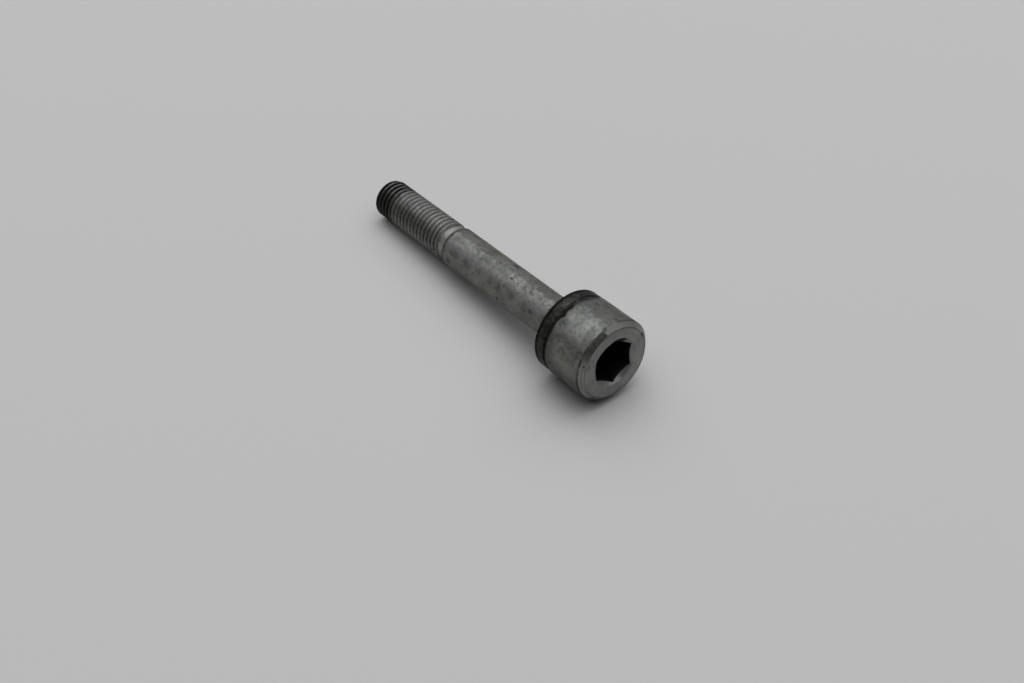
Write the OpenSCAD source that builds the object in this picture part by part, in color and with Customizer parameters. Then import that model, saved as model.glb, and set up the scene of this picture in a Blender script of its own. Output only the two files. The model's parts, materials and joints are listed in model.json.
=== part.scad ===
// Hex socket head cap screw, long pattern: a deep round head with a collar on its bearing side,
// a plain shank a little thicker than the thread, a rolled thread at the end.
// One forged and rolled piece of coated steel, lying on the floor as it comes to rest:
// the rim of the head and the last full turn of the thread touch, so the axis is a little raised.
// Lengths are in millimetres. +X runs from the thread to the head, +Z is up.

/* [Part to draw] */
// one node by name, or all of them

/* [Thread] */
// diameter over the crests of the thread
thread_d = 14; // [8:0.5:18]
// distance from one turn of the thread to the next
pitch = 2; // [1:0.25:2.5]
// length of the screw under its head
under_head_l = 100; // [80:1:140]
// length of the thinner neck between the shank and the thread
neck_l = 4; // [2:0.5:8]

/* [Shank] */
// how much thicker than the thread the plain shank is, in diameter
shank_more = 0.4; // [0:0.1:2]
// length of the plain shank, from the head to its shoulder
shank_l = 58; // [30:1:70]
// radius in the corner under the head
under_head_r = 0.8; // [0.4:0.1:1.5]

/* [Head] */
// diameter of the head
head_d = 28.4; // [23:0.2:36]
// height of the head, from its bearing face to its top face
head_h = 22; // [18:0.5:30]
// bevel round the top face
top_bevel = 1.6; // [0.4:0.1:3]
// height of the collar between the bearing face and the seam
collar_h = 4; // [2:0.2:6]
// how much less than the head the collar measures in radius
collar_step = 0.1; // [0.05:0.05:0.4]
// bevel round the bearing face
bearing_bevel = 0.3; // [0.1:0.1:1.2]
// width of the seam that runs round the head in front of the collar
seam_w = 1.2; // [0.6:0.1:2]
// depth of the seam
seam_depth = 0.4; // [0.2:0.1:0.8]

/* [Socket] */
// size of the key, across the flats of the socket
key_af = 14; // [8:1:18]
// depth of the flats from the top face
socket_depth = 11; // [6:0.5:14]
// how far the countersink at the mouth reaches outside the corners of the flats
mouth_lip = 0.75; // [0.2:0.05:1.5]
// how much less than the flats the hole drilled before them measures in radius
drill_less = 0.5; // [0.2:0.1:3]

/* [Rest] */
// turn of the screw about its own axis, as it came to rest
roll = 177; // [-180:1:180]

/* [Hidden] */
$fn = 96;
steel_grey = [0.43, 0.44, 0.43];
// slopes of the point left by the drill, of the countersink at the socket's mouth, and of a metric
// thread's flank, in degrees
drill_slope = 31;
mouth_slope = 30;
flank_slope = 60;
// flats in the socket, and half the angle that one of them takes up
sides = 6;
half_side = 180 / sides;
// how far a cut runs past the face it opens
cut_over = 1;

thread_r = thread_d / 2;
shank_r = thread_r + shank_more / 2;
head_r = head_d / 2;
collar_r = head_r - collar_step;
top_face_r = head_r - top_bevel;
bearing_face_r = collar_r - bearing_bevel;
corner_r = shank_r + under_head_r;
// a rolled metric thread: its root is 17/24 of the sharp height under the crest, and the neck
// has the diameter of the blank, which is the thread's mean diameter
sharp_h = pitch / 2 * tan(flank_slope);
root_r = thread_r - sharp_h * 17 / 24;
neck_r = thread_r - sharp_h * 3 / 8;
thread_end = -under_head_l + (thread_r - root_r);
neck_start = -shank_l - (shank_r - neck_r);
neck_end = -shank_l - neck_l;
thread_start = neck_end - (thread_r - neck_r);
seam_top = collar_h + seam_w;
flat_r = key_af / 2;
hex_corner_r = flat_r / cos(half_side);
mouth_r = hex_corner_r + mouth_lip;
drill_r = flat_r - drill_less;

// The floor touches the thread's last full turn and one rim of the head: the collar's, or the one
// in front of the seam if it is the lower. The line through the two gives the lie of the axis.
lie = max(
    atan((collar_r - thread_r) / (bearing_bevel - thread_end)),
    atan((head_r - thread_r) / (seam_top - thread_end))
);
axis_h = thread_r * cos(lie) - thread_end * sin(lie);
front_x = head_h * cos(lie) + top_face_r * sin(lie);
back_x = -under_head_l * cos(lie) - root_r * sin(lie);
axis_x = -(front_x + back_x) / 2;

// The outline from the axis outwards, with the bearing face at nought and the head above it.
module outline() {
    difference() {
        polygon([
            [0, head_h],
            [top_face_r, head_h],
            [head_r, head_h - top_bevel],
            [head_r, seam_top],
            [head_r - seam_depth, seam_top - seam_w / 2],
            [collar_r, collar_h],
            [collar_r, bearing_bevel],
            [bearing_face_r, 0],
            [corner_r, 0],
            [corner_r, -under_head_r],
            [shank_r, -under_head_r],
            [shank_r, -shank_l],
            [neck_r, neck_start],
            [neck_r, neck_end],
            [thread_r, thread_start],
            [thread_r, thread_end],
            [root_r, -under_head_l],
            [0, -under_head_l]
        ]);
        translate([corner_r, -under_head_r])
            circle(r = under_head_r);
    }
}

// The flats, the hole drilled before them and the countersink at the mouth.
module socket() {
    translate([0, 0, head_h - socket_depth])
        cylinder(h = socket_depth + cut_over, r = hex_corner_r, $fn = sides);
    translate([0, 0, head_h - socket_depth])
        rotate_extrude()
            polygon([
                [0, -drill_r * tan(drill_slope)],
                [drill_r, 0],
                [drill_r, cut_over],
                [0, cut_over]
            ]);
    translate([0, 0, head_h])
        rotate_extrude()
            polygon([
                [0, (flat_r - cut_over - mouth_r) * tan(mouth_slope)],
                [flat_r - cut_over, (flat_r - cut_over - mouth_r) * tan(mouth_slope)],
                [mouth_r + cut_over, cut_over * tan(mouth_slope)],
                [0, cut_over * tan(mouth_slope)]
            ]);
}

module screw() {
    color(steel_grey)
        translate([axis_x, 0, axis_h])
            rotate([0, 90 - lie, 0])
                rotate([0, 0, roll])
                    difference() {
                        rotate_extrude()
                            outline();
                        socket();
                    }
}

screw();
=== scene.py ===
import json
import math

import bpy
from mathutils import Matrix, Vector


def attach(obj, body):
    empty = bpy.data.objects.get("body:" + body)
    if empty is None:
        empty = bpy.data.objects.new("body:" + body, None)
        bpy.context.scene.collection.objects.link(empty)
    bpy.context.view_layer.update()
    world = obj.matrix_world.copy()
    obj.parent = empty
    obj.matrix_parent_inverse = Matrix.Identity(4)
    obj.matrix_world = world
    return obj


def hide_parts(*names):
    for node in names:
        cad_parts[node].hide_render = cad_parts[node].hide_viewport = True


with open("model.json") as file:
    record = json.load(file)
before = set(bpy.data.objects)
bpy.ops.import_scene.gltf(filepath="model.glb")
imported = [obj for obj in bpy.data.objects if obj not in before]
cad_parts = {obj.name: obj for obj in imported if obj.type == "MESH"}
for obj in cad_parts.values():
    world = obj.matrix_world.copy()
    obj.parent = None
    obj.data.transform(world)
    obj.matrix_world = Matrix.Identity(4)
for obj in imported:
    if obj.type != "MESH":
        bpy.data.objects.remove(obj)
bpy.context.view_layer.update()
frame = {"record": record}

# ---------------------------------------------------------------------------------------------
# THE SCREW. One piece of alloy steel, forged to a deep round head on a plain shank; the thread is
# rolled on, and the six-sided socket is pressed into a drilled hole. It lies on the rim of its
# collar and on the last turn of its thread. Lengths along the axis start at the bearing face.
# ---------------------------------------------------------------------------------------------
MM = 0.001
mounts = {mount["name"]: mount for mount in frame["record"]["mounts"]}
screw_axis = Vector(mounts["hex_socket"]["axis"]).normalized()
crest_r = mounts["thread"]["dims"]["r_mm"]
shank_r = mounts["shank"]["dims"]["r_mm"]

under_head = 100.0
pitch = 2.0

# a rolled metric thread: its root is 17/24 of the sharp height under the crest, and the blank
# that it is rolled on has the thread's mean diameter
flank_slope = math.radians(60)
sharp_h = pitch / 2 * math.tan(flank_slope)
root_r = crest_r - sharp_h * 17 / 24
blank_r = crest_r - sharp_h * 3 / 8
tip_r = root_r
thread_from = -under_head
thread_to = -62.0
run_out = 0.9
last_crest = -63.7

shank_end = -58.0
shoulder = shank_r - blank_r
fillet_r = 0.8

head_r = 14.2
head_h = 22.0
top_bevel = 1.6
bevel_from = head_h - top_bevel
top_face_r = head_r - top_bevel
collar_r = 14.1
collar_h = 4.0
collar_bevel = 0.3
seam_w = 1.2
seam_end = collar_h + seam_w
seam_depth = 0.4

key_r = 7.0
half_side = math.radians(30)
mouth_lip = 0.75
mouth_r = key_r / math.cos(half_side) + mouth_lip
mouth_slope = math.radians(30)
mouth_rise = math.tan(mouth_slope)
socket_depth = 11.0
socket_floor = head_h - socket_depth
drill_r = 6.5
drill_slope = math.radians(31)
drill_point = socket_floor - drill_r * math.tan(drill_slope)
corner_turn = 27.0
spokes = 192

# The outline, one ring to a row: length along the axis, radius, and four weights that say how far
# the ring follows the thread's winding, the six flats, the countersink, and the torn seam.
outline = []


def ring(x, r, wound=0.0, flats=0.0, sunk=0.0, torn=0.0):
    outline.append((x, r, wound, flats, sunk, torn))


def run(x0, r0, x1, r1, steps):
    """Rings along a straight line, without the first."""
    for i in range(1, steps + 1):
        ring(x0 + (x1 - x0) * i / steps, r0 + (r1 - r0) * i / steps)


def turned_edge(x, r, radius, start, stop, steps=3):
    """Rings round a worn edge or a fillet, from one angle of its small circle to another."""
    for i in range(steps + 1):
        angle = math.radians(start + (stop - start) * i / steps)
        ring(x + radius * math.cos(angle), r + radius * math.sin(angle))


# the flat tip, then one winding of the thread after another
ring(-under_head, 0)
run(-under_head, 0, -under_head, tip_r - 0.5, 4)
ring(-under_head, tip_r - 0.2)
ring(thread_from, tip_r)
crest_flat, crest_edge, flank, root_edge, root_flat = 0.24, 0.38, 0.60, 0.82, 0.93
half_winding = [
    (crest_flat, crest_r),
    (crest_edge, crest_r - 0.12),
    (flank, crest_r - 0.61),
    (root_edge, root_r + 0.11),
    (root_flat, root_r),
]
first_crest = last_crest - pitch * math.ceil((last_crest - thread_from) / pitch + 1)
for turn in range(int((thread_to - first_crest) / pitch) + 2):
    crest = first_crest + turn * pitch
    for away, r in reversed(half_winding):
        ring(crest - away, r, wound=1)
    for away, r in half_winding:
        ring(crest + away, r, wound=1)
ring(thread_to, blank_r)

# the neck, the shoulder and the shank, up to the fillet under the head
run(thread_to, blank_r, shank_end - shoulder - 0.3, blank_r, 6)
turned_edge(shank_end - shoulder - 0.25, blank_r + 0.25, 0.25, 270, 315, 2)
turned_edge(shank_end - 0.5, shank_r - 0.6, 0.6, 135, 90, 4)
run(shank_end - 0.5, shank_r, -fillet_r - 0.2, shank_r, 34)
turned_edge(-fillet_r, shank_r + fillet_r, fillet_r, 270, 360, 6)

# the bearing face and the collar, with the groove that the coating has torn along
run(0, shank_r + fillet_r, 0, collar_r - collar_bevel - 0.1, 8)
turned_edge(collar_bevel, collar_r - collar_bevel, collar_bevel, 180, 90, 4)
run(collar_bevel, collar_r, collar_h - 0.5, collar_r, 8)
seam_bottom = collar_h + seam_w / 2
seam_r = head_r - seam_depth
for x, r, torn in [
    (collar_h - 0.25, collar_r, 0.12),
    (collar_h - 0.05, collar_r - 0.03, 0.3),
    (collar_h + 0.12, collar_r - 0.14, 0.5),
    (seam_bottom - 0.2, seam_r + 0.06, 0.7),
    (seam_bottom, seam_r, 0.8),
    (seam_bottom + 0.2, seam_r + 0.07, 0.9),
    (seam_end - 0.12, head_r - 0.12, 1.0),
    (seam_end + 0.04, head_r - 0.02, 1.0),
    (seam_end + 0.3, head_r, 0.9),
    (seam_end + 0.7, head_r, 0.6),
    (seam_end + 1.2, head_r, 0.3),
    (seam_end + 1.8, head_r, 0.1),
]:
    ring(x, r, torn=torn)

# the head, its top bevel, and its top face with a fine turned line just inside the bevel
line_depth = 0.05
run(7.2, head_r, bevel_from - 0.25, head_r, 26)
turned_edge(bevel_from - 0.12, head_r - 0.3, 0.3, 90, 45, 3)
run(bevel_from + 0.1, head_r - 0.1, head_h - 0.2, top_face_r + 0.2, 6)
turned_edge(head_h - 0.25, top_face_r - 0.1, 0.25, 45, 0, 3)
ring(head_h, top_face_r - 0.05)
ring(head_h - line_depth, top_face_r - 0.15)
ring(head_h - line_depth, top_face_r - 0.25)
ring(head_h, top_face_r - 0.35)
run(head_h, top_face_r - 0.4, head_h, mouth_r + 0.1, 12)

# the countersink, the six flats and the drilled point
ring(head_h, mouth_r)
for step in range(1, 7):
    ring(head_h, mouth_r, flats=step / 6, sunk=1)
ring(socket_floor, mouth_r, flats=1, sunk=0.995)
for step in range(1, 13):
    ring(socket_floor, mouth_r, flats=1, sunk=1 - step / 12)
ring(socket_floor, drill_r)
run(socket_floor, drill_r, drill_point, 0, 6)

outline_mesh = bpy.data.meshes.new("screw outline")
outline_mesh.from_pydata(
    [(row[0] * MM, row[1] * MM, 0) for row in outline],
    [(i, i + 1) for i in range(len(outline) - 1)], [])
for column, name in enumerate(("wound", "flats", "sunk", "torn"), start=2):
    weights = outline_mesh.attributes.new(name, "FLOAT", "POINT")
    weights.data.foreach_set("value", [row[column] for row in outline])
screw = bpy.data.objects.new("screw_body", outline_mesh)
bpy.context.scene.collection.objects.link(screw)


def add_node(tree, kind, inputs=None, **settings):
    """A node with its settings; inputs are values, or the outputs of other nodes."""
    node = tree.nodes.new(kind)
    for name, value in settings.items():
        setattr(node, name, value)
    for name, value in (inputs or {}).items():
        if isinstance(value, bpy.types.NodeSocket):
            tree.links.new(value, node.inputs[name])
        else:
            node.inputs[name].default_value = value
    return node


def calc(tree, operation, *values):
    """The result of one sum."""
    return add_node(tree, "ShaderNodeMath", dict(enumerate(values)), operation=operation).outputs[0]


def blend(tree, weight, plain, other):
    """plain where the weight is nought, other where it is one."""
    return calc(tree, "MULTIPLY_ADD", weight, calc(tree, "SUBTRACT", other, plain), plain)


# The tree lays a grid, one row to a ring, and rolls it into the screw: the thread's rows climb by
# one pitch in a turn, the socket's rows follow the flats, and the seam's rows wander.
form = bpy.data.node_groups.new("rolled and pressed form", "GeometryNodeTree")
form.is_modifier = True
form_sizes = {
    "Spokes": spokes, "Pitch": pitch * MM, "Thread from": thread_from * MM,
    "Thread to": thread_to * MM, "Run-out": run_out * MM, "Blank radius": blank_r * MM,
    "Tip radius": tip_r * MM, "Key radius": key_r * MM, "Mouth radius": mouth_r * MM,
    "Mouth rise": mouth_rise, "Head height": head_h * MM, "Corner turn": math.radians(corner_turn),
    "Seam wander": 0.8 * MM, "Torn from": math.radians(78), "Torn to": math.radians(124),
    "Torn lift": 0.5 * MM, "Tear turn": math.radians(118), "Tear reach": 0.8 * MM,
}
form.interface.new_socket("Geometry", in_out="INPUT", socket_type="NodeSocketGeometry")
form_inputs = {}
for name, value in form_sizes.items():
    kind = "NodeSocketInt" if isinstance(value, int) else "NodeSocketFloat"
    form_inputs[name] = form.interface.new_socket(name, in_out="INPUT", socket_type=kind)
form_inputs["Coat"] = form.interface.new_socket(
    "Coat", in_out="INPUT", socket_type="NodeSocketMaterial")
form.interface.new_socket("Geometry", in_out="OUTPUT", socket_type="NodeSocketGeometry")
given = form.nodes.new("NodeGroupInput").outputs

rings = add_node(form, "GeometryNodeAttributeDomainSize", {0: given["Geometry"]}).outputs[0]
columns = calc(form, "ADD", given["Spokes"], 1)
sheet = add_node(form, "GeometryNodeMeshGrid", {"Vertices X": rings, "Vertices Y": columns})
index = form.nodes.new("GeometryNodeInputIndex").outputs[0]
ring_number = calc(form, "FLOOR", calc(form, "DIVIDE", index, columns))
ring_start = calc(form, "MULTIPLY", ring_number, columns)
share = calc(form, "DIVIDE", calc(form, "SUBTRACT", index, ring_start), given["Spokes"])
along = calc(form, "MULTIPLY", share, 2 * math.pi)
turned = calc(form, "ADD", along, given["Corner turn"])


def from_outline(value, data_type="FLOAT"):
    """What the outline says for the ring that a point of the grid is on."""
    return add_node(form, "GeometryNodeSampleIndex",
                    {"Geometry": given["Geometry"], "Value": value, "Index": ring_number},
                    data_type=data_type).outputs[0]


def outline_weight(name):
    stored = add_node(form, "GeometryNodeInputNamedAttribute", {"Name": name}, data_type="FLOAT")
    return from_outline(stored.outputs[0])


row = add_node(form, "ShaderNodeSeparateXYZ", {
    0: from_outline(form.nodes.new("GeometryNodeInputPosition").outputs[0], "FLOAT_VECTOR")}).outputs
wound, flats, sunk, torn = (outline_weight(n) for n in ("wound", "flats", "sunk", "torn"))

# the thread: each winding is cut off at the tip and fades into the blank at the neck
climbed = calc(form, "MULTIPLY_ADD", share, given["Pitch"], row[0])
kept = add_node(form, "ShaderNodeClamp", {
    "Value": climbed, "Min": given["Thread from"], "Max": given["Thread to"]}).outputs[0]
x = blend(form, wound, row[0], kept)
fade = add_node(form, "ShaderNodeMapRange", {
    "Value": calc(form, "SUBTRACT", given["Thread to"], kept), "From Max": given["Run-out"]},
    interpolation_type="SMOOTHSTEP").outputs[0]
rolled = blend(form, fade, given["Blank radius"], row[1])
tip_cone = calc(form, "ADD", given["Tip radius"], calc(form, "SUBTRACT", kept, given["Thread from"]))
r = blend(form, wound, row[1], calc(form, "MINIMUM", rolled, tip_cone))

# the socket: six flats, and a countersink that meets them in scallops
side = math.radians(60)
off_flat = calc(form, "SUBTRACT", calc(form, "MODULO", along, side), side / 2)
r = blend(form, flats, r, calc(form, "DIVIDE", given["Key radius"], calc(form, "COSINE", off_flat)))
inside_mouth = calc(form, "SUBTRACT", given["Mouth radius"], r)
cone_depth = calc(form, "MULTIPLY", inside_mouth, given["Mouth rise"])
cone_x = calc(form, "SUBTRACT", given["Head height"], cone_depth)
x = blend(form, sunk, x, cone_x)

# the seam: it wanders round the head, is torn wider over one stretch, and has one long tear
round_y = calc(form, "COSINE", turned)
round_z = calc(form, "SINE", turned)
length_grain = 160
around = add_node(form, "ShaderNodeCombineXYZ", {
    0: calc(form, "MULTIPLY", row[0], length_grain), 1: round_y, 2: round_z}).outputs[0]
wander = add_node(form, "ShaderNodeTexNoise", {
    "Vector": around, "Scale": 3.2, "Detail": 6.0, "Roughness": 0.72}).outputs[0]
wander = calc(form, "MULTIPLY", calc(form, "SUBTRACT", wander, 0.5), given["Seam wander"])
soft_end = math.radians(5)
torn_wander = 1.3
tear_narrowness = 500
lift = calc(form, "MULTIPLY", *(
    add_node(form, "ShaderNodeMapRange", {"Value": calc(form, "SUBTRACT", *pair), "From Max": soft_end},
             interpolation_type="SMOOTHSTEP").outputs[0]
    for pair in ((turned, given["Torn from"]), (given["Torn to"], turned))))
wander = calc(form, "MULTIPLY", wander, calc(form, "MULTIPLY_ADD", lift, torn_wander, 1.0))
off_tear = calc(form, "SUBTRACT", turned, given["Tear turn"])
off_tear_squared = calc(form, "MULTIPLY", off_tear, off_tear)
tear = calc(form, "EXPONENT", calc(form, "MULTIPLY", off_tear_squared, -tear_narrowness))
wander = calc(form, "MULTIPLY_ADD", tear, given["Tear reach"], wander)
wander = calc(form, "MULTIPLY_ADD", lift, given["Torn lift"], wander)
x = calc(form, "MULTIPLY_ADD", torn, wander, x)

place = add_node(form, "ShaderNodeCombineXYZ", {
    0: x, 1: calc(form, "MULTIPLY", r, round_y), 2: calc(form, "MULTIPLY", r, round_z)}).outputs[0]
shape = add_node(form, "GeometryNodeSetPosition", {0: sheet.outputs["Mesh"], "Position": place}).outputs[0]
on_flats = calc(form, "MULTIPLY", flats, calc(form, "SUBTRACT", 1, sunk))
for name, value in (("length", row[0]), ("pressed", on_flats)):
    shape = add_node(form, "GeometryNodeStoreNamedAttribute", {0: shape, "Name": name, "Value": value},
                     data_type="FLOAT", domain="POINT").outputs[0]

# the sheet's two edges and both its ends are closed, and its faces turned outwards
shape = add_node(form, "GeometryNodeMergeByDistance", {0: shape, "Distance": 0.001 * MM}).outputs[0]
shape = add_node(form, "GeometryNodeFlipFaces", {0: shape}).outputs[0]
crisp_from = math.radians(40)
edge_angle = form.nodes.new("GeometryNodeInputMeshEdgeAngle").outputs[0]
crisp = add_node(form, "FunctionNodeCompare", {0: edge_angle, 1: crisp_from},
                 data_type="FLOAT", operation="GREATER_THAN").outputs[0]
shape = add_node(form, "GeometryNodeSetShadeSmooth", {0: shape, "Shade Smooth": True}).outputs[0]
shape = add_node(form, "GeometryNodeSetShadeSmooth",
                 {0: shape, "Selection": crisp, "Shade Smooth": False}, domain="EDGE").outputs[0]
shape = add_node(form, "GeometryNodeRealizeInstances", {0: shape}).outputs[0]
shape = add_node(form, "GeometryNodeSetMaterial", {0: shape, "Material": given["Coat"]}).outputs[0]
form.links.new(shape, form.nodes.new("NodeGroupOutput").inputs[0])

# The coat: matt grey zinc flake, baked on. It is mottled and speckled, cleaner on the top face, and dirty in
# the thread's valleys and along the seam and the collar. Painted highlights and painted shade lie on its lit
# and unlit sides, the neck, the thread and the countersink, and the socket is painted dark inside as painted
# shade.
dull_zinc = (0.088, 0.092, 0.087, 1)
clean_zinc = (0.209, 0.215, 0.207, 1)
painted_light_zinc = (0.28, 0.285, 0.275, 1)
bright_zinc = (0.34, 0.345, 0.34, 1)
olive_zinc = (0.120, 0.121, 0.095, 1)
blue_zinc = (0.135, 0.142, 0.158, 1)
green_shade = (0.090, 0.105, 0.094, 1)
grime_and_shade_black = (0.010, 0.010, 0.009, 1)
coat = bpy.data.materials.new("zinc flake coat")
coat.use_nodes = True
paint = coat.node_tree
surface = paint.nodes["Principled BSDF"]
top_centre = Vector(mounts["hex_socket"]["pos_m"])
bearing_centre = top_centre - screw_axis * head_h * MM
lie = math.atan2(screw_axis.z, screw_axis.x)
own = add_node(paint, "ShaderNodeMapping", {
    "Vector": paint.nodes.new("ShaderNodeTexCoord").outputs["Object"],
    "Location": bearing_centre, "Rotation": (0, -lie, 0), "Scale": (MM, MM, MM)},
    vector_type="TEXTURE").outputs[0]
part_x, part_y, part_z = add_node(paint, "ShaderNodeSeparateXYZ", {0: own}).outputs
radius = calc(paint, "SQRT", calc(paint, "ADD", calc(paint, "MULTIPLY", part_y, part_y),
                                  calc(paint, "MULTIPLY", part_z, part_z)))


def stored(name):
    return add_node(paint, "ShaderNodeAttribute", attribute_name=name).outputs["Fac"]


def cloud(scale, detail=3.0, roughness=0.5, where=None):
    return add_node(paint, "ShaderNodeTexNoise", {
        "Vector": where or own, "Scale": scale, "Detail": detail, "Roughness": roughness}).outputs[0]


def between(value, low, high, low_to=0.0, high_to=1.0):
    """A smooth step from one value to the other; low may be the greater of the two."""
    return add_node(paint, "ShaderNodeMapRange", {
        0: value, 1: low, 2: high, 3: low_to, 4: high_to}, interpolation_type="SMOOTHSTEP").outputs[0]


def times(*values):
    product = values[0]
    for value in values[1:]:
        product = calc(paint, "MULTIPLY", product, value)
    return product


def band(value, start, stop, soft):
    """One between two values, fading to nought outside them."""
    return times(between(value, start - soft, start), between(value, stop + soft, stop))


def facing(turn, half, soft=3.0):
    """One on the side that faces a turn round the axis, out to half degrees either way."""
    toward = calc(paint, "DIVIDE", calc(
        paint, "ADD", calc(paint, "MULTIPLY", part_y, math.cos(math.radians(turn))),
        calc(paint, "MULTIPLY", part_z, math.sin(math.radians(turn)))), radius)
    return between(toward, math.cos(math.radians(half + soft)), math.cos(math.radians(half)))


def frayed(mask, scale=1.3):
    """The same patch with a ragged, broken edge."""
    fray = calc(paint, "SUBTRACT", cloud(scale, 4, 0.7), 0.5)
    return between(calc(paint, "MULTIPLY_ADD", fray, 1.7, mask), 0.36, 0.64)


def scaled(vector, factors):
    return add_node(paint, "ShaderNodeVectorMath", {0: vector, 1: factors}, operation="MULTIPLY").outputs[0]


def mark(x, r, turn, size, long=1.0, slant=0.0):
    """A small mark at one place of the surface, round or drawn out along the screw."""
    angle = math.radians(turn)
    off = add_node(paint, "ShaderNodeVectorMath", {
        0: own, 1: (x, r * math.cos(angle), r * math.sin(angle))}, operation="SUBTRACT").outputs[0]
    off = add_node(paint, "ShaderNodeVectorRotate", {
        "Vector": off, "Angle": math.radians(slant)}, rotation_type="Z_AXIS").outputs[0]
    off = scaled(off, (1 / long, 1, 1))
    away = add_node(paint, "ShaderNodeVectorMath", {0: off}, operation="LENGTH").outputs["Value"]
    uneven = calc(paint, "SUBTRACT", cloud(2.2, 3, 0.7), 0.5)
    away = calc(paint, "MULTIPLY_ADD", uneven, 1.2 * size, away)
    return between(away, size, 0.35 * size)


def any_of(*masks):
    """The strongest of several patches."""
    most = masks[0]
    for mask in masks[1:]:
        most = calc(paint, "MAXIMUM", most, mask)
    return most


def tint(weight, plain, other):
    """One colour laid over another."""
    node = add_node(paint, "ShaderNodeMix", data_type="RGBA")
    for socket, value in zip((node.inputs[0], node.inputs[6], node.inputs[7]), (weight, plain, other)):
        if isinstance(value, bpy.types.NodeSocket):
            paint.links.new(value, socket)
        else:
            socket.default_value = value
    return node.outputs[2]


# the mottling, from broad soft clouds down to a fine grain, crinkled in some places and not in others
broad = between(cloud(0.11, 2), 0.34, 0.66, -0.5, 0.5)
middle = between(cloud(0.6, 5, 0.62), 0.28, 0.72, -0.5, 0.5)
fine = between(cloud(2.3, 4, 0.7), 0.25, 0.75, -0.5, 0.5)
crinkled = between(cloud(0.12, 2), 0.42, 0.58, 0.35, 1.15)
crinkled = any_of(crinkled, times(facing(98, 14, 12), band(part_x, -25.0, -4.0, 3.0), 1.15))
clouded = between(cloud(0.24, 3), 0.32, 0.68, -0.5, 0.5)
mottle = calc(paint, "MULTIPLY_ADD", broad, 0.45, 0.5)
more_on_head = between(part_x, -1.0, 2.0, 0.5, 1.15)
mottle = calc(paint, "MULTIPLY_ADD", times(clouded, more_on_head), 0.65, mottle)
mottle = calc(paint, "MULTIPLY_ADD", times(middle, crinkled), 0.95, mottle)
mottle = calc(paint, "MULTIPLY_ADD", times(fine, crinkled), 0.65, mottle)
colour = tint(mottle, dull_zinc, clean_zinc)
olive_cast = between(cloud(0.35, 2), 0.50, 0.64, 0.0, 0.3)
blue_cast = between(cloud(0.33, 2), 0.46, 0.32, 0.0, 0.35)
colour = tint(olive_cast, colour, olive_zinc)
colour = tint(blue_cast, colour, blue_zinc)
on_shank = band(part_x, shank_end + 0.5, -1.0, 0.8)
# painted light: the shank is painted lighter on its sides facing 140° and 88°, a painted highlight
shank_painted_light = any_of(times(frayed(facing(140, 8, 24), 0.35), 0.30), times(facing(88, 10, 14), 0.10))
colour = tint(times(on_shank, shank_painted_light), colour, painted_light_zinc)
# a painted highlight on the head's side facing 128°
colour = tint(times(between(part_x, 7.0, 10.0), facing(128, 5, 14), 0.14), colour, painted_light_zinc)
# painted light: the side facing 177° round the axis is painted a lighter, warmer grey
colour = tint(times(facing(177, 14, 18), 0.5), colour, (0.185, 0.184, 0.160, 1))
# painted shade on the underside of the head, facing 212°
underside_shade = times(between(part_x, -2.0, 2.0), facing(212, 16, 22))
colour = tint(times(underside_shade, 0.55), colour, (0.040, 0.041, 0.036, 1))
# painted shade along the far upper side of the head and the shank, facing 70°
far_side_shade = any_of(between(part_x, 1.0, 3.0), times(on_shank, 0.8))
far_side_shade = times(far_side_shade, frayed(facing(70, 9, 24), 0.5))
colour = tint(times(far_side_shade, 0.58), colour, (0.060, 0.061, 0.056, 1))

# the neck is painted lighter on its lit side, a painted highlight; the top face, its bevel and the
# countersink stayed clean
neck = times(band(part_x, -61.95, -59.1, 0.2), facing(110, 54, 25))
colour = tint(times(neck, between(cloud(1.1, 3), 0.34, 0.56, 0.45, 0.8)), colour, painted_light_zinc)
on_top = between(part_x, bevel_from - 0.1, bevel_from + 0.2)
marks_at = add_node(paint, "ShaderNodeCombineXYZ", {
    0: radius, 1: calc(paint, "DIVIDE", part_y, radius), 2: calc(paint, "DIVIDE", part_z, radius)}).outputs[0]
marks_at = scaled(marks_at, (5.0, 1.6, 1.6))
turned_marks = cloud(1.0, 4, 0.65, where=marks_at)
top_zinc = tint(between(turned_marks, 0.32, 0.68), (0.236, 0.241, 0.232, 1), (0.304, 0.308, 0.300, 1))
colour = tint(times(on_top, 0.68), colour, top_zinc)
above_flats = between(part_x, head_h - 1.3, head_h - 1.2)
on_cone = times(between(radius, mouth_r - 0.05, mouth_r - 0.35), above_flats)
# painted highlight and painted shade on the countersink, on the sides facing 273°, 309° and 228°
colour = tint(times(on_cone, facing(273, 3, 20), 0.6), colour, (0.38, 0.39, 0.38, 1))
colour = tint(times(on_cone, facing(309, 6, 20), 0.8), colour, green_shade)
colour = tint(times(on_cone, facing(228, 8, 18), 0.4), colour, green_shade)
# the countersink is darkened along its mouth on the side facing 72°
dark_cone_edge = times(between(radius, mouth_r, mouth_r - 0.15), above_flats, facing(72, 6, 22))

# the thread: painted highlights in its grooves and along its crests on the lit side, painted light on the
# crests of its lower side, and painted shade towards its lower side
in_thread = between(part_x, thread_to + 0.2, thread_to - 0.6)
clean_thread = times(in_thread, between(part_x, -91.5, -87.0))
on_crest = times(clean_thread, between(radius, root_r + 0.70, crest_r - 0.05))
in_groove = times(clean_thread, between(radius, crest_r - 0.10, crest_r - 0.35))
colour = tint(times(in_groove, facing(103, 14, 24), 0.2), colour, bright_zinc)
colour = tint(times(on_crest, frayed(facing(178, 8, 22), 0.6), 0.3), colour, (0.27, 0.27, 0.25, 1))
crest_painted_highlight = times(clean_thread, between(radius, crest_r - 0.95, crest_r - 0.40), facing(96, 8, 34))
colour = tint(times(crest_painted_highlight, 0.27), colour, bright_zinc)
thread_shade = any_of(frayed(facing(152, 3, 28), 0.45), times(facing(134, 6, 22), 0.5))
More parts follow.
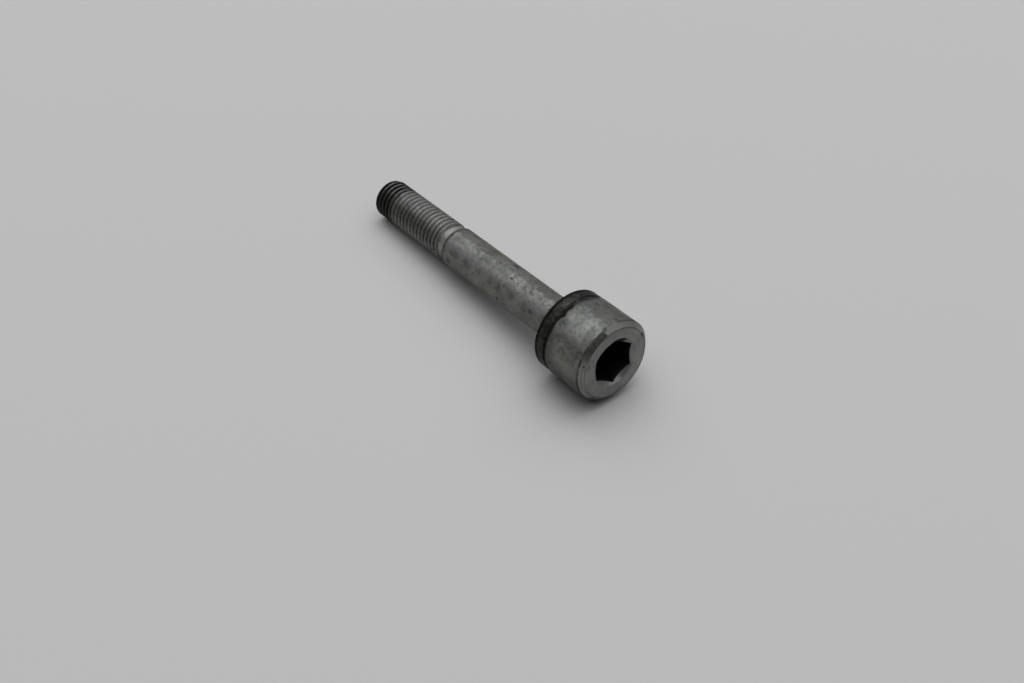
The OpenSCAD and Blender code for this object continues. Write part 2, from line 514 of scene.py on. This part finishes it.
thread_shade = times(in_thread, thread_shade)
colour = tint(times(thread_shade, 0.27), colour, (0.045, 0.045, 0.038, 1))
# painted shade on the lower side of the thread's half towards the tip
low_thread_shade = times(between(part_x, -73.0, -79.0), frayed(facing(147, 4, 22), 0.5))

# where dirt has settled, and where shade is painted
length = calc(paint, "DIVIDE", stored("length"), MM)
ragged_length = calc(paint, "MULTIPLY_ADD", calc(paint, "SUBTRACT", cloud(1.1, 5, 0.75), 0.5), 1.8, length)
seam_dirt = band(ragged_length, collar_h + 0.25, seam_end + 0.1, 0.55)
seam_strength = between(cloud(0.35, 3), 0.36, 0.60, 0.68, 0.92)
# the seam's dirt is darker on the side facing 145°, a painted shade
seam_strength = any_of(frayed(facing(145, 40, 14), 0.5), seam_strength)
# the collar's back edge is darkened all round
dark_back_edge = band(ragged_length, -1.0, 1.05, 0.6)
dark_back_edge = times(dark_back_edge, between(radius, 13.4, 13.8))
on_collar = between(length, collar_h + 0.6, collar_h + 0.2)
on_collar = times(on_collar, between(radius, shank_r + 1.2, shank_r + 1.6))
streaked = cloud(0.55, 4, 0.65, where=scaled(own, (0.8, 1.5, 1.5)))
collar_dirt = tint(between(streaked, 0.36, 0.64), (0.007, 0.007, 0.006, 1), (0.038, 0.038, 0.031, 1))
colour = tint(times(on_collar, 0.93), colour, collar_dirt)
blue_band = times(frayed(facing(71, 6, 8), 0.8), between(length, 0.5, 1.5))
blue_band = times(blue_band, between(ragged_length, 7.5, 5.5))
colour = tint(times(blue_band, 0.6), colour, (0.018, 0.018, 0.023, 1))
grime_and_shade = any_of(times(seam_dirt, seam_strength, 0.96), times(dark_back_edge, 0.93))
seam_smoke = times(between(ragged_length, 7.8, 5.2), between(length, 4.0, 4.6), 0.45)
# painted shade on the head's lower side just above the seam
low_side_shade = times(between(ragged_length, 10.5, 5.0), between(length, 4.4, 5.0))
low_side_shade = times(low_side_shade, facing(156, 26, 18), 0.34)
torn_side = facing(109, 22, 12)
flecks = cloud(2.4, 4, 0.75)
torn_flecks = times(between(flecks, 0.54, 0.64), torn_side, between(ragged_length, 9.5, 6.5), 0.75)
bright_flecks = times(between(cloud(1.2, 3, 0.6), 0.44, 0.34), torn_side)
bright_flecks = times(bright_flecks, band(ragged_length, 6.0, 8.5, 0.8), 0.6)
colour = tint(bright_flecks, colour, (0.32, 0.33, 0.32, 1))
# the thread's valleys are darkened with dirt in patches, and with painted shade on the lower side facing 186°
valley = times(in_thread, between(radius, root_r + 0.60, root_r + 0.10))
patchy_dirt_and_shade = between(cloud(0.3, 3), 0.42, 0.64, 0.05, 0.50)
patchy_dirt_and_shade = any_of(patchy_dirt_and_shade, times(frayed(facing(186, 14, 22), 0.5), 0.85))
tip_dirt = between(radius, crest_r + 0.02, crest_r - 0.3, 0.35, 0.93)
tip_dirt = times(between(part_x, -88.6, -92.0), tip_dirt)
# painted shade on the tip's lower side and its far upper side
tip_shade = any_of(facing(170, 42, 24), times(facing(48, 14, 18), 0.95))
tip_shade = times(between(part_x, -87.0, -92.0), tip_shade, 0.78)
# painted shade in the thread's valleys on its lower side
low_valley_shade = times(in_thread, between(radius, crest_r - 0.15, root_r + 0.6))
low_valley_shade = times(low_valley_shade, frayed(facing(188, 14, 22), 0.5), 0.5)
# painted shade on the shoulder between the neck and the shank
shoulder_shade = times(between(part_x, -59.1, -58.7), between(part_x, -56.9, -58.2), 0.55)
shoulder_shade = times(shoulder_shade, between(cloud(0.5, 3), 0.30, 0.5, 0.70, 1.0))
bevel_patch = times(on_top, between(radius, 12.1, 12.7), facing(118, 14, 30))
bevel_patch = times(bevel_patch, frayed(facing(147, 37, 12), 1.6))
bevel_patch = times(bevel_patch, between(cloud(1.1, 4, 0.6), 0.34, 0.60, 0.84, 1.0))
bevel_shade = times(on_top, between(radius, 12.2, 13.2), frayed(facing(246, 6, 24), 0.7), 0.8)
far_bevel_shade = times(on_top, between(radius, 12.4, 12.8), facing(70, 18, 22), 0.2)
bevel_shade = any_of(bevel_shade, far_bevel_shade)
patch_smudge = times(mark(20.5, head_r, 102, 1.5, 0.7), 0.55)
# dark lines at the bevel's edges; the outer one is darker on the lower and far sides, a painted shade
outer_line = times(band(part_x, bevel_from - 0.15, bevel_from + 0.2, 0.25), between(radius, 13.0, 13.3))
low_outer_shade = times(frayed(facing(180, 40, 34), 0.6), 0.75)
far_outer_shade = times(facing(48, 26, 16), 0.6)
outer_line = times(outer_line, any_of(low_outer_shade, far_outer_shade, 0.15))
inner_line = times(on_top, band(radius, top_face_r - 0.32, top_face_r - 0.12, 0.25), 0.4)
line_wear = between(cloud(0.4, 3), 0.36, 0.54, 0.5, 1.0)
# painted shade: a faint dark line on the bevel's lower side
low_line_shade = times(on_top, band(radius, 13.1, 13.25, 0.12), frayed(facing(172, 18, 10)), 0.28)
specks = add_node(paint, "ShaderNodeTexVoronoi", {"Vector": own, "Scale": 0.62}).outputs["Distance"]
specks = times(between(specks, 0.17, 0.08), between(cloud(0.22, 2), 0.44, 0.56), 0.75)
smudges = times(between(cloud(0.5, 5, 0.6), 0.56, 0.72), calc(paint, "SUBTRACT", 1, on_top), 0.5)
# painted shade in blotches along the lower side of the shank and the head, facing 149°
shank_shade_blotches = times(on_shank, facing(149, 5, 14), between(cloud(0.30, 4, 0.65), 0.42, 0.66), 0.45)
head_shade_clouds = times(between(part_x, 6.0, 8.0), facing(149, 6, 14))
head_shade_clouds = times(head_shade_clouds, between(cloud(0.25, 4, 0.6), 0.40, 0.62), 0.4)
pits = any_of(
    mark(-25.5, shank_r, 111, 0.55, 1.6), mark(-28.0, shank_r, 184, 0.75, 1.3),
    mark(head_h - 0.6, 13.1, 158, 0.6), mark(head_h, 12.5, 24, 0.8), mark(head_h, 12.4, 27, 0.6),
    mark(7.6, head_r, 184, 0.7, 1.3))
soft_marks = any_of(
    mark(-46.3, shank_r, 148, 1.1, 1.5), mark(-32.2, shank_r, 154, 1.0),
    mark(-53.6, shank_r, 152, 1.3, 1.6), mark(-11.5, shank_r, 152, 1.2, 1.6),
    mark(-15.6, shank_r, 111, 0.7, 2.0), mark(-5.0, shank_r, 118, 0.6, 2.0),
    mark(9.7, head_r, 75, 0.9, 1.8), mark(19.3, head_r, 78, 0.8, 2.2),
    mark(8.3, head_r, 125, 0.9), mark(9.5, head_r, 96, 0.7))
scratch = times(mark(-29.6, shank_r, 67, 0.7, 4.0, 20), 0.7)
brown_smudge = times(mark(-39.5, shank_r, 67, 2.2, 1.5), 0.6)
colour = tint(brown_smudge, colour, (0.060, 0.056, 0.042, 1))
pressed = stored("pressed")
bottom = between(part_x, drill_point - 2, drill_point - 1)
bottom = times(bottom, between(part_x, socket_floor + 0.3, socket_floor + 0.1))
bottom = times(bottom, between(radius, key_r + 1, key_r + 0.9))
# the socket is painted dark inside, a painted shade
inside = any_of(between(pressed, 0.0003, 0.003, 0.0, 0.93), between(pressed, 0.02, 0.12), bottom)
lines = times(any_of(outer_line, inner_line), line_wear)
# dirt and painted shade together, laid on in near black
grime_and_shade = any_of(
    grime_and_shade, seam_smoke, low_side_shade, torn_flecks, times(valley, patchy_dirt_and_shade), tip_dirt, tip_shade,
    shoulder_shade, lines, low_line_shade, times(bevel_patch, 0.8), times(bevel_shade, 0.8), patch_smudge,
    specks, smudges, shank_shade_blotches, head_shade_clouds, low_valley_shade, times(low_thread_shade, 0.28), times(pits, 0.8),
    times(soft_marks, 0.45), scratch, dark_cone_edge, inside)
colour = tint(grime_and_shade, colour, grime_and_shade_black)
paint.links.new(colour, surface.inputs["Base Color"])

# dirt and painted shade are rougher than the clean zinc, and the neck is smoother
dirt_and_shade = any_of(grime_and_shade, on_collar)
paint.links.new(calc(paint, "MULTIPLY_ADD", dirt_and_shade, 0.2, 0.8), surface.inputs["Metallic"])
sheen = between(mottle, 0.0, 1.0, 0.60, 0.47)
sheen = calc(paint, "MULTIPLY_ADD", neck, -0.14, sheen)
paint.links.new(calc(paint, "MULTIPLY_ADD", grime_and_shade, 0.2, sheen), surface.inputs["Roughness"])
relief = calc(paint, "MULTIPLY_ADD", times(on_top, turned_marks), 0.8, times(cloud(3.0, 4, 0.6), crinkled))
relief = calc(paint, "MULTIPLY_ADD", any_of(specks, pits), -1.5, relief)
grain = add_node(paint, "ShaderNodeBump", {
    "Strength": 0.3, "Distance": 0.0001, "Height": relief}).outputs[0]
paint.links.new(grain, surface.inputs["Normal"])

forming = screw.modifiers.new("form", "NODES")
forming.node_group = form
for name, value in {**form_sizes, "Coat": coat}.items():
    forming[form_inputs[name].identifier] = value
bpy.context.view_layer.update()
formed = bpy.data.meshes.new_from_object(screw.evaluated_get(bpy.context.evaluated_depsgraph_get()))
screw.modifiers.remove(forming)
screw.data = formed
formed.transform(Matrix.Translation(bearing_centre) @ Matrix.Rotation(-lie, 4, "Y"))
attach(screw, "root")
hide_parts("screw")

# ---------------------------------------------------------------------------------------------
# THE FLOOR AND THE LIGHT. A sheet of pale card under a wide soft lamp overhead, with a smaller one
# in its middle, and a little light from all round, which shows brighter in reflections than it
# falls on matt things.
# ---------------------------------------------------------------------------------------------
floor_mesh = bpy.data.meshes.new("floor")
reach = 1.6
floor_mesh.from_pydata([(-reach, -reach, 0), (reach, -reach, 0), (reach, reach, 0), (-reach, reach, 0)],
                       [], [(0, 1, 2, 3)])
floor = bpy.data.objects.new("floor", floor_mesh)
bpy.context.scene.collection.objects.link(floor)
card = bpy.data.materials.new("pale card")
card.use_nodes = True
card_inputs = card.node_tree.nodes["Principled BSDF"].inputs
card_inputs["Base Color"].default_value = (0.505, 0.505, 0.505, 1)
card_inputs["Roughness"].default_value = 0.9
card_inputs["Specular IOR Level"].default_value = 0.1
floor_mesh.materials.append(card)

lamp_at = Vector((-0.37, 0.39, 2.13))
for name, width, watts in (("soft lamp", 4.8, 88.8), ("middle of the soft lamp", 1.8, 16.3)):
    lamp_data = bpy.data.lights.new(name, "AREA")
    lamp_data.shape = "SQUARE"
    lamp_data.size = width
    lamp_data.energy = watts
    lamp = bpy.data.objects.new(name, lamp_data)
    lamp.location = lamp_at
    lamp.rotation_euler = (-lamp_at).to_track_quat("-Z", "Y").to_euler()
    bpy.context.scene.collection.objects.link(lamp)

sky = bpy.data.worlds.new("room")
sky.use_nodes = True
room = sky.node_tree
room_glow = room.nodes["Background"].inputs
room_glow["Color"].default_value = (1, 1, 1, 1)
glow_on_matt = 0.04
glow_seen = 0.3
seen = room.nodes.new("ShaderNodeLightPath").outputs
in_reflections = calc(room, "MAXIMUM", seen["Is Glossy Ray"], seen["Is Transmission Ray"])
backdrop_seen = calc(room, "MAXIMUM", seen["Is Camera Ray"], in_reflections)
room.links.new(blend(room, backdrop_seen, glow_on_matt, glow_seen), room_glow["Strength"])
bpy.context.scene.world = sky

# ---------------------------------------------------------------------------------------------
# THE CAMERA. It looks down on the screw from the corner in front of the head, past the socket and
# along the shank to the thread.
# ---------------------------------------------------------------------------------------------
camera_data = bpy.data.cameras.new("camera")
camera_data.lens = 49.07
camera_data.sensor_width = 36.0
camera = bpy.data.objects.new("camera", camera_data)
azimuth, elevation = math.radians(51.525), math.radians(43.23)
aim = Vector((0.020392, -0.008472, 0))
far_off = 0.458985
back = Vector((math.sin(azimuth) * math.cos(elevation), -math.cos(azimuth) * math.cos(elevation),
               math.sin(elevation)))
camera.location = aim + back * far_off
camera.rotation_euler = back.to_track_quat("Z", "Y").to_euler()
camera_data.clip_start = 0.01
bpy.context.scene.collection.objects.link(camera)
bpy.context.scene.camera = camera
bpy.context.scene.view_settings.view_transform = "Standard"
